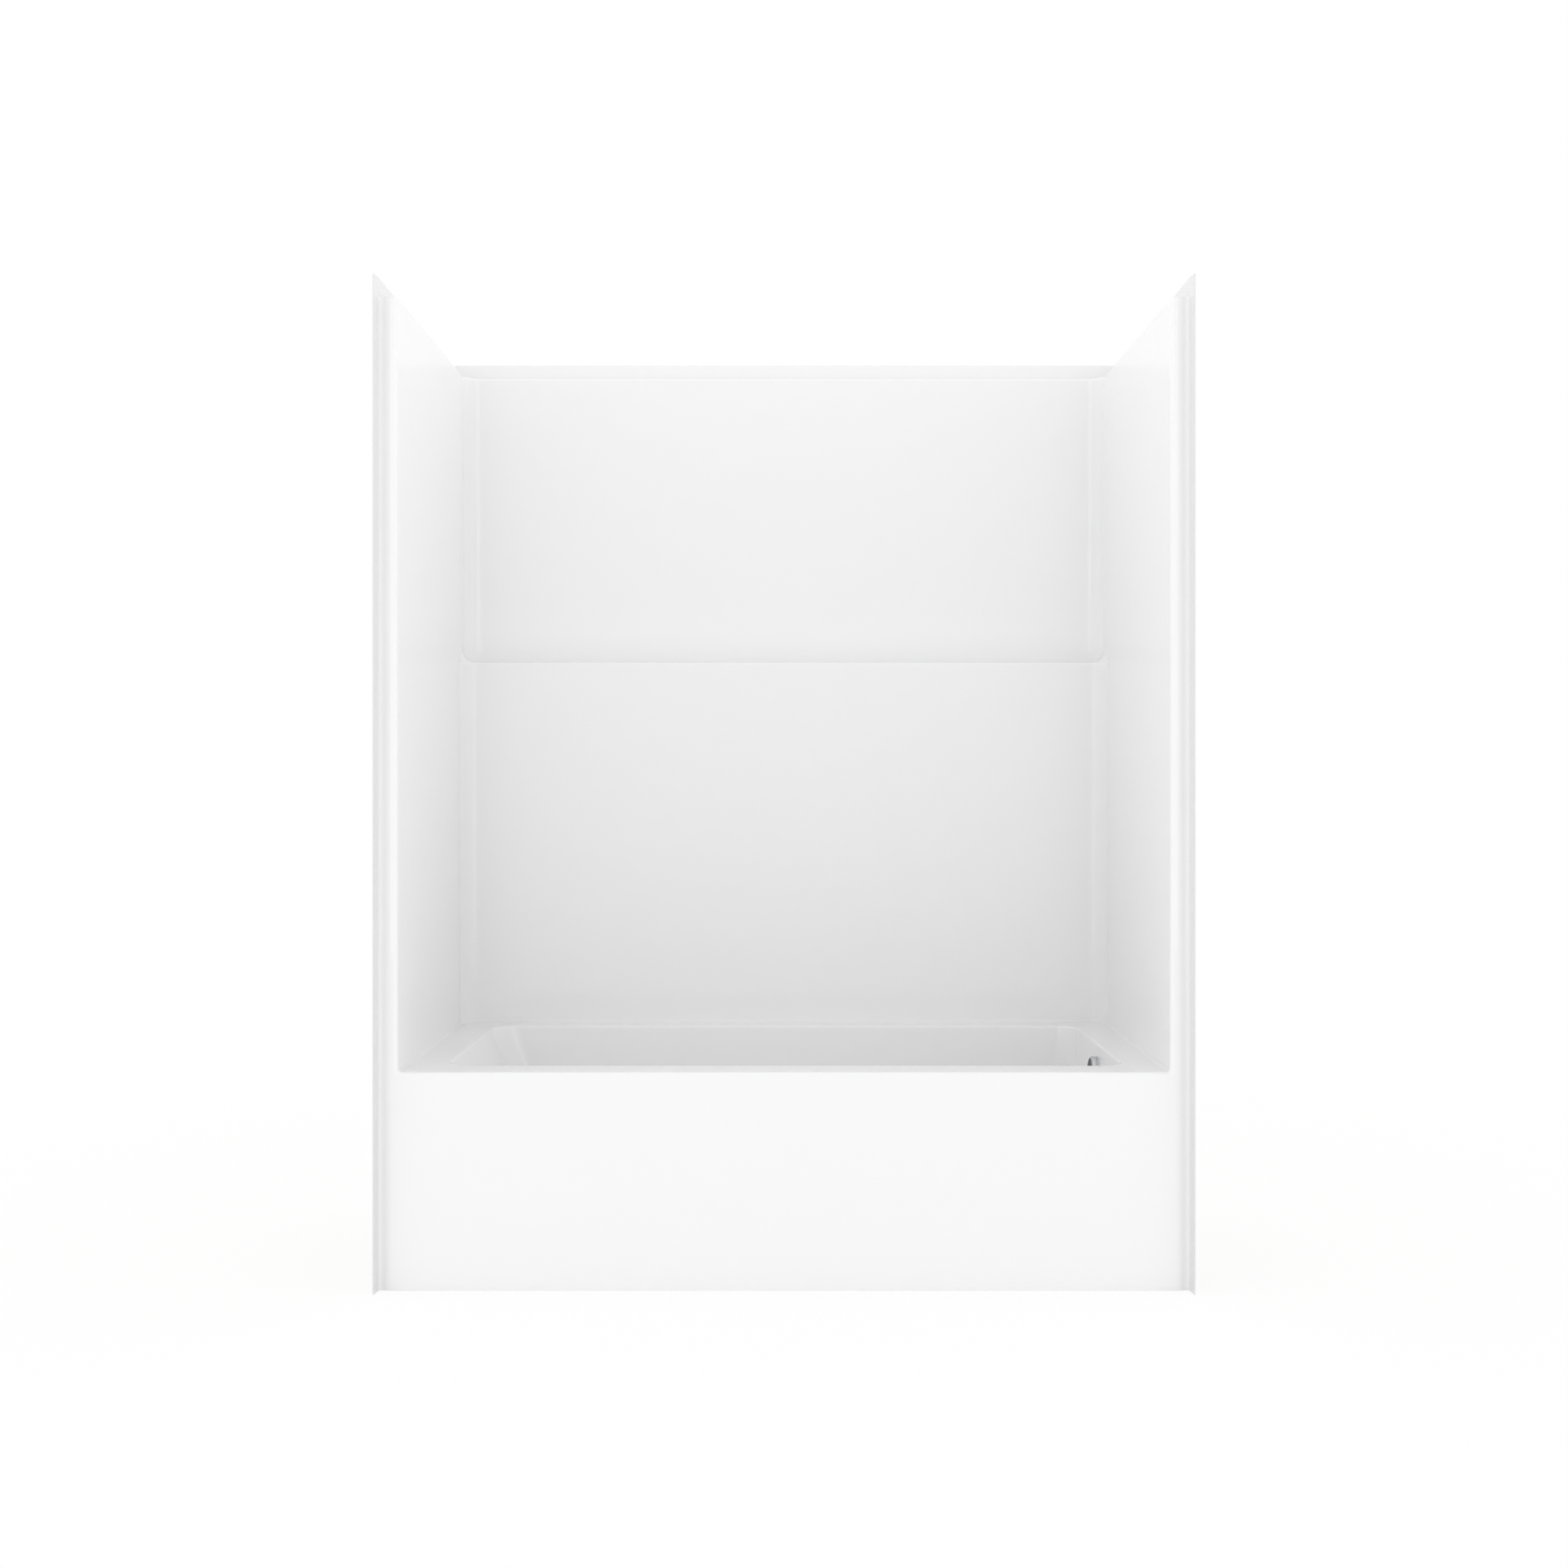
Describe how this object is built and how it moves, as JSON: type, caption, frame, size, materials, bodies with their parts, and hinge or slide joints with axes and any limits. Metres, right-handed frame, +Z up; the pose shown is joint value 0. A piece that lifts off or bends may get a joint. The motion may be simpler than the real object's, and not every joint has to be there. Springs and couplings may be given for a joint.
{
  "type": "tub and shower unit",
  "caption": "White moulded alcove bathtub with apron, three shower walls, a back ledge, nailing flange, and a chrome overflow dial that lifts the drain stopper.",
  "frame": {"origin": "middle of the unit's base, on the floor: the centre of the bounding box in plan, at its lowest face", "axes": "+Z up, +X towards the drain end on the right seen from the room, +Y from the apron towards the back wall"},
  "size_m": [1.524, 0.8256, 1.892],
  "materials": {
    "gelcoat": "polished white gelcoat",
    "chrome": "bright chrome plate",
    "brass": "machined brass",
    "rubber": "matt black rubber",
    "pipe_plastic": "moulded white pipe plastic",
    "black_plastic": "moulded black plastic",
    "timber": "sawn softwood and plywood"
  },
  "bodies": {
    "root": {"tub_basin": "gelcoat", "apron": "gelcoat", "left_end_wall": "gelcoat", "right_end_wall": "gelcoat", "back_wall": "gelcoat", "base_board": "timber", "base_runner_1": "timber", "base_runner_2": "timber", "base_runner_3": "timber", "apron_rail": "timber", "apron_board": "timber", "left_wall_board_lower": "timber", "left_wall_board_upper": "timber", "right_wall_board_lower": "timber", "right_wall_board_upper": "timber", "back_wall_board_lower": "timber", "back_wall_board_upper": "timber", "overflow_plate": "chrome", "overflow_screw_1": "brass", "overflow_screw_2": "brass", "overflow_gasket": "rubber", "overflow_elbow": "pipe_plastic", "overflow_tube": "pipe_plastic", "elbow_nut": "black_plastic", "tee_nut": "black_plastic", "waste_tee": "pipe_plastic", "branch_nut": "black_plastic", "waste_pipe": "pipe_plastic", "shoe_nut": "black_plastic", "drain_shoe": "pipe_plastic", "drain_gasket": "rubber", "drain_flange": "chrome", "lever_pin": "brass", "control_cable": "black_plastic"},
    "dial": {"overflow_dial": "chrome", "dial_spindle": "brass", "cable_bobbin": "black_plastic"},
    "stopper": {"drain_stopper": "chrome", "stopper_stem": "brass"},
    "lever": {"lift_lever": "brass"}
  },
  "joints": [
    {"name": "dial_turn", "type": "hinge", "parent": "root", "child": "dial", "pos_m": [0.64106, -0.03112, 0.351], "axis": [-0.9974, -0.0182, 0.0698], "range_deg": [0, 90]},
    {"name": "stopper_lift", "type": "slide", "parent": "root", "child": "stopper", "axis": [0, 0, 1], "range_m": [0, 0.01]},
    {"name": "lever_rock", "type": "hinge", "parent": "root", "child": "lever", "pos_m": [0.519, -0.04713, 0.0484], "axis": [1, 0, 0], "range_deg": [0, 38.7]}
  ],
  "couplings": [
    {"joint": "stopper_lift", "follows": "dial_turn", "m_per_rad": 0.00636},
    {"joint": "lever_rock", "follows": "dial_turn", "ratio": 0.42}
  ]
}
